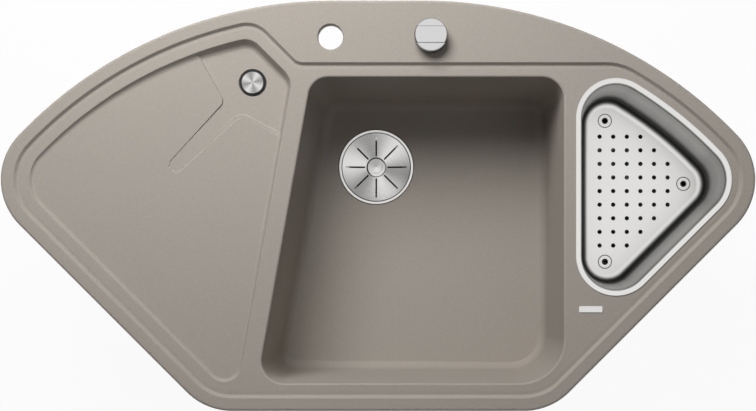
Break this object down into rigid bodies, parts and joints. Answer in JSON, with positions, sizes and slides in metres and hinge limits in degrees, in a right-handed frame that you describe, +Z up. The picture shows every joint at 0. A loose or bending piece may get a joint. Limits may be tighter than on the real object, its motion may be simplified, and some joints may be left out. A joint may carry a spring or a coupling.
{
  "type": "corner kitchen sink",
  "caption": "Drop-in corner kitchen sink in moulded composite with sloping drainer, main bowl with remote-controlled strainer waste, and small bowl with a lift-out steel basket.",
  "frame": {"origin": "middle of the rim's outline, on the worktop's surface, which is the underside of the rim seal", "axes": "+X to the right along the straight rear edge, seen from the user; +Y to the rear; +Z up"},
  "size_m": [1.0562, 0.575, 0.3187],
  "materials": {
    "composite": "fine-grained silky matt moulded granite composite, warm grey-brown",
    "steel": "satin brushed stainless steel",
    "polished_steel": "finely turned, polished",
    "zinc": "zinc plated",
    "brass": "plain turned",
    "black_plastic": "moulded",
    "white_plastic": "moulded, slightly glossy",
    "grey_plastic": "moulded",
    "rubber": "matt"
  },
  "bodies": {
    "sink": {"sink_body": "composite", "name_plate": "steel", "worktop_seal": "rubber", "clip_claw_1": "zinc", "clip_screw_1": "zinc", "clip_claw_2": "zinc", "clip_screw_2": "zinc", "clip_claw_3": "zinc", "clip_screw_3": "zinc", "clip_claw_4": "zinc", "clip_screw_4": "zinc", "clip_claw_5": "zinc", "clip_screw_5": "zinc", "clip_claw_6": "zinc", "clip_screw_6": "zinc", "control_escutcheon": "black_plastic", "control_housing": "black_plastic", "control_seal": "rubber", "control_lock_nut": "brass", "cable_sheath": "black_plastic", "waste_flange": "steel", "waste_top_seal": "rubber", "waste_lower_seal": "rubber", "waste_pot": "white_plastic", "waste_hollow_bolt": "brass", "small_waste_flange": "steel", "small_waste_top_seal": "rubber", "small_waste_lower_seal": "rubber", "small_waste_lock_nut": "white_plastic", "overflow_inlet": "black_plastic", "overflow_seal": "rubber", "overflow_lock_nut": "white_plastic", "overflow_hose_spigot": "white_plastic", "overflow_hose": "grey_plastic", "hose_clamp_upper": "zinc", "hose_clamp_lower": "zinc", "waste_tee": "white_plastic", "branch_pipe": "white_plastic", "branch_union_nut": "white_plastic", "slip_nut_pot": "white_plastic", "cone_seal_pot": "rubber", "slip_nut_branch": "white_plastic", "cone_seal_branch": "rubber"},
    "knob": {"control_knob": "polished_steel", "control_spindle": "brass"},
    "lifter": {"waste_lifter_stem": "polished_steel"},
    "lever": {"waste_rocker_lever": "zinc"},
    "pull_rod": {"cable_pull_rod": "zinc"},
    "strainer": {"strainer_plate": "steel", "strainer_knob": "polished_steel", "strainer_plug": "grey_plastic", "strainer_plug_seal": "rubber"},
    "small_strainer": {"small_waste_strainer": "steel"},
    "overflow_cap": {"overflow_cap": "steel"},
    "basket": {"basket_shell": "steel", "basket_foot_1": "black_plastic", "basket_foot_2": "black_plastic", "basket_foot_3": "black_plastic"}
  },
  "joints": [
    {"name": "knob_turn", "type": "hinge", "parent": "sink", "child": "knob", "pos_m": [0.074, 0.236, 0.02], "axis": [0, 0, 1], "range_deg": [0, 90]},
    {"name": "valve_lift", "type": "slide", "parent": "sink", "child": "lifter", "axis": [0, 0, 1], "range_m": [0, 0.00835]},
    {"name": "lever_swing", "type": "hinge", "parent": "sink", "child": "lever", "pos_m": [-0.0388, 0.071, -0.22983], "axis": [0, -1, 0], "range_deg": [0, 16]},
    {"name": "cable_pull", "type": "slide", "parent": "sink", "child": "pull_rod", "axis": [1, 0, 0], "range_m": [0, 0.00417]},
    {"name": "strainer_lift_out", "type": "slide", "parent": "lifter", "child": "strainer", "axis": [0, 0, 1], "range_m": [0, 0.2]},
    {"name": "small_strainer_lift", "type": "slide", "parent": "sink", "child": "small_strainer", "axis": [0, 0, 1], "range_m": [0, 0.02]},
    {"name": "overflow_cap_lift_out", "type": "slide", "parent": "sink", "child": "overflow_cap", "axis": [0, 0, 1], "range_m": [0, 0.03]},
    {"name": "basket_lift_out", "type": "slide", "parent": "sink", "child": "basket", "axis": [0, 0, 1], "range_m": [0, 0.12]}
  ],
  "couplings": [
    {"joint": "valve_lift", "follows": "knob_turn", "m_per_rad": 0.0053155},
    {"joint": "lever_swing", "follows": "knob_turn", "ratio": 0.17776},
    {"joint": "cable_pull", "follows": "knob_turn", "m_per_rad": 0.0026577}
  ]
}
